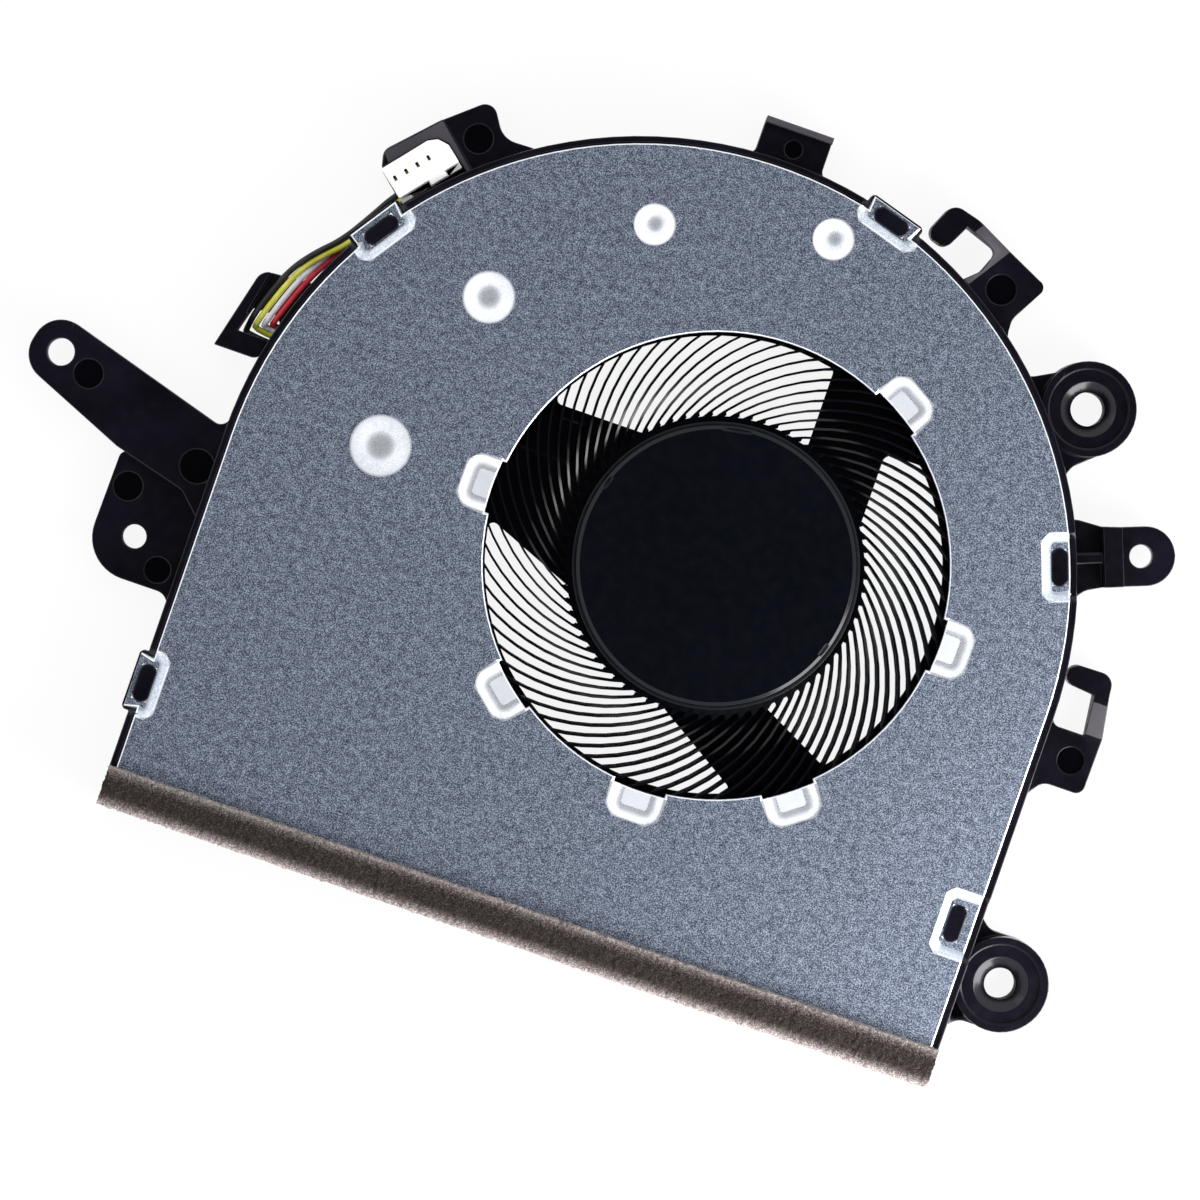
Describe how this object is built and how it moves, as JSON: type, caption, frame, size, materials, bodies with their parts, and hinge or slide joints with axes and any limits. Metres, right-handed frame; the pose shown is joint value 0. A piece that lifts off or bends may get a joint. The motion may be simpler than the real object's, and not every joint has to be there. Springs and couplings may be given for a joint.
{
  "type": "laptop blower fan",
  "caption": "Thin blower fan with a moulded frame and screw lugs, a pressed steel cover with a round inlet, a curved-blade impeller on a flat motor, and a lead with its connector.",
  "frame": {"origin": "on the rotor's axis, at the underside of the floor", "axes": "+Z from the floor to the cover and its inlet, +X along the outlet edge, -Y out of the outlet"},
  "size_m": [0.1135, 0.0838, 0.0076],
  "materials": {
    "black_plastic": "satin moulded",
    "coated_steel": "fine speckled coating",
    "foam": "open-cell foam",
    "impeller_plastic": "matt",
    "drawn_steel": "zinc plated",
    "bonded_magnet": "dull",
    "ground_steel": "ground",
    "white_polymer": "smooth",
    "brass": "turned",
    "sintered_bronze": "sintered",
    "lamination_steel": "stamped",
    "insulator_plastic": "smooth",
    "circuit_board": "solder mask",
    "ceramic": "smooth",
    "solder": "bright",
    "connector_nylon": "smooth",
    "contact_brass": "plated",
    "magnet_wire": "enamelled copper",
    "black_sleeve": "smooth",
    "red_sleeve": "smooth",
    "white_sleeve": "smooth",
    "yellow_sleeve": "smooth"
  },
  "bodies": {
    "housing": {"frame": "black_plastic", "top_cover": "coated_steel", "outlet_foam": "foam", "bearing_tube": "brass", "sleeve_bearing": "sintered_bronze", "thrust_plate": "white_polymer", "oil_seal": "white_polymer", "stator_core": "lamination_steel", "insulator_lower": "insulator_plastic", "insulator_upper": "insulator_plastic", "driver_board": "circuit_board", "driver_chip": "black_plastic", "board_capacitors": "ceramic", "solder_joints": "solder", "connector_housing": "connector_nylon", "connector_contacts": "contact_brass", "coil_1": "magnet_wire", "coil_2": "magnet_wire", "coil_3": "magnet_wire", "coil_4": "magnet_wire", "coil_5": "magnet_wire", "coil_6": "magnet_wire", "wire_black": "black_sleeve", "wire_red": "red_sleeve", "wire_white": "white_sleeve", "wire_yellow": "yellow_sleeve"},
    "rotor": {"impeller": "impeller_plastic", "rotor_yoke": "drawn_steel", "ring_magnet": "bonded_magnet", "shaft": "ground_steel", "retaining_ring": "white_polymer"}
  },
  "joints": [
    {"name": "impeller_spin", "type": "hinge", "parent": "housing", "child": "rotor", "pos_m": [0, 0, 0], "axis": [0, 0, 1], "continuous": true}
  ]
}
